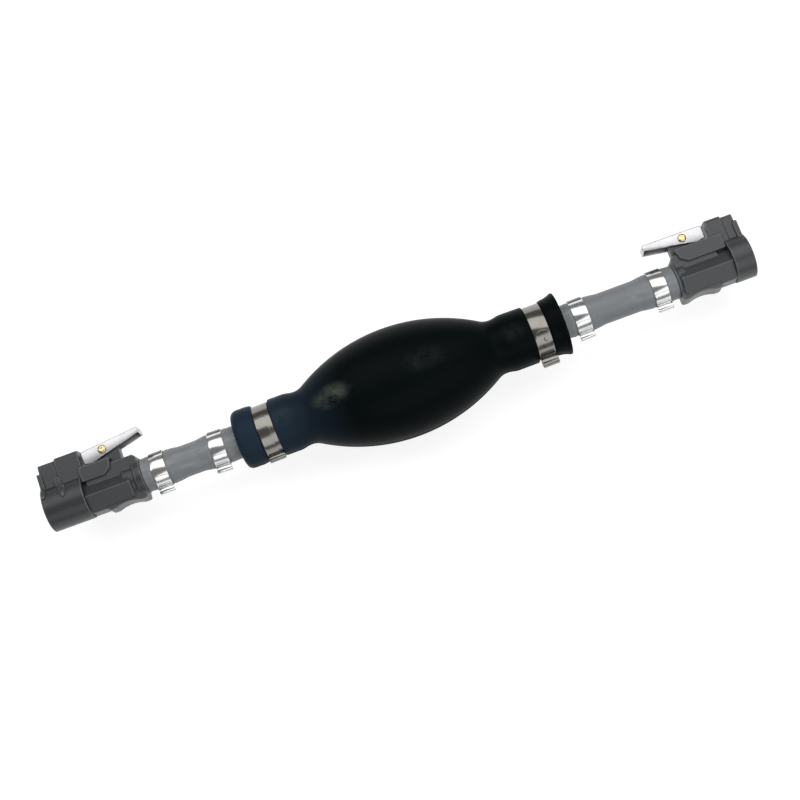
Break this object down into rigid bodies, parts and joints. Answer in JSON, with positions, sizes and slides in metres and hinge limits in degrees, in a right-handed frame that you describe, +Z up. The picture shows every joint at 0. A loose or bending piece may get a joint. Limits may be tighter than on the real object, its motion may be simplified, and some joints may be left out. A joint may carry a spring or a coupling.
{
  "type": "siphon bulb pump",
  "caption": "Rubber priming bulb with check valves, clamped between two short fuel hoses that end in latching quick connectors.",
  "frame": {"origin": "on the flow axis at the middle of the squeeze bulb", "axes": "+X along the flow, from the inlet (tank) connector to the outlet (engine) connector; +Y towards the two latch levers; +Z up, the side that a thumb squeezes"},
  "size_m": [0.3595, 0.055, 0.055],
  "materials": {
    "bulb_rubber": "moulded satin rubber",
    "hose_rubber": "extruded matt rubber",
    "seal_rubber": "smooth nitrile",
    "connector_plastic": "fine moulded texture",
    "valve_plastic": "natural acetal",
    "band_steel": "brushed stainless strip",
    "clip_zinc": "bright zinc plate",
    "lever_chrome": "polished pressed steel",
    "rivet_brass": "turned brass",
    "spring_steel": "drawn stainless wire"
  },
  "bodies": {
    "root": {"squeeze_bulb": "bulb_rubber", "inlet_valve_body": "valve_plastic", "outlet_valve_body": "valve_plastic", "inlet_valve_cage": "valve_plastic", "outlet_valve_seat": "valve_plastic", "inlet_check_spring": "spring_steel", "outlet_check_spring": "spring_steel", "inlet_bulb_clamp": "band_steel", "outlet_bulb_clamp": "band_steel", "inlet_hose_tank_clip": "clip_zinc", "inlet_hose_bulb_clip": "clip_zinc", "outlet_hose_bulb_clip": "clip_zinc", "outlet_hose_engine_clip": "clip_zinc", "inlet_hose": "hose_rubber", "inlet_connector_hood": "connector_plastic", "inlet_connector_body": "connector_plastic", "inlet_port_seal": "seal_rubber", "inlet_port_guide": "valve_plastic", "inlet_port_spring": "spring_steel", "inlet_latch_rivet": "rivet_brass", "inlet_latch_spring": "spring_steel", "outlet_hose": "hose_rubber", "outlet_connector_hood": "connector_plastic", "outlet_connector_body": "connector_plastic", "outlet_port_seal": "seal_rubber", "outlet_port_guide": "valve_plastic", "outlet_port_spring": "spring_steel", "outlet_latch_rivet": "rivet_brass", "outlet_latch_spring": "spring_steel"},
    "thumb_wall": {"bulb_thumb_wall": "bulb_rubber"},
    "inlet_ball": {"inlet_check_ball": "valve_plastic"},
    "outlet_ball": {"outlet_check_ball": "valve_plastic"},
    "inlet_plunger": {"inlet_port_plunger": "valve_plastic"},
    "outlet_plunger": {"outlet_port_plunger": "valve_plastic"},
    "inlet_latch": {"inlet_latch_lever": "lever_chrome"},
    "outlet_latch": {"outlet_latch_lever": "lever_chrome"}
  },
  "joints": [
    {"name": "bulb_squeeze", "type": "slide", "parent": "root", "child": "thumb_wall", "axis": [0, 0, -1], "range_m": [0, 0.014], "stiffness_N_per_m": 1500},
    {"name": "inlet_check_open", "type": "slide", "parent": "root", "child": "inlet_ball", "axis": [1, 0, 0], "range_m": [0, 0.0025], "stiffness_N_per_m": 30, "springref_m": -0.002, "deforming": ["inlet_check_spring"]},
    {"name": "outlet_check_open", "type": "slide", "parent": "root", "child": "outlet_ball", "axis": [1, 0, 0], "range_m": [0, 0.0025], "stiffness_N_per_m": 30, "springref_m": -0.002, "deforming": ["outlet_check_spring"]},
    {"name": "inlet_port_press", "type": "slide", "parent": "root", "child": "inlet_plunger", "axis": [1, 0, 0], "range_m": [0, 0.0035], "stiffness_N_per_m": 300, "springref_m": -0.002, "deforming": ["inlet_port_spring"]},
    {"name": "outlet_port_press", "type": "slide", "parent": "root", "child": "outlet_plunger", "axis": [-1, 0, 0], "range_m": [0, 0.0035], "stiffness_N_per_m": 300, "springref_m": -0.002, "deforming": ["outlet_port_spring"]},
    {"name": "inlet_latch_press", "type": "hinge", "parent": "root", "child": "inlet_latch", "pos_m": [-0.1464, 0.0187, 0], "axis": [0, 0, -1], "range_deg": [0, 12], "stiffness_Nm_per_rad": 0.12, "springref_deg": -8.59, "deforming": ["inlet_latch_spring"]},
    {"name": "outlet_latch_press", "type": "hinge", "parent": "root", "child": "outlet_latch", "pos_m": [0.1514, 0.0182, 0], "axis": [0, 0, 1], "range_deg": [0, 12], "stiffness_Nm_per_rad": 0.12, "springref_deg": -8.59, "deforming": ["outlet_latch_spring"]}
  ]
}
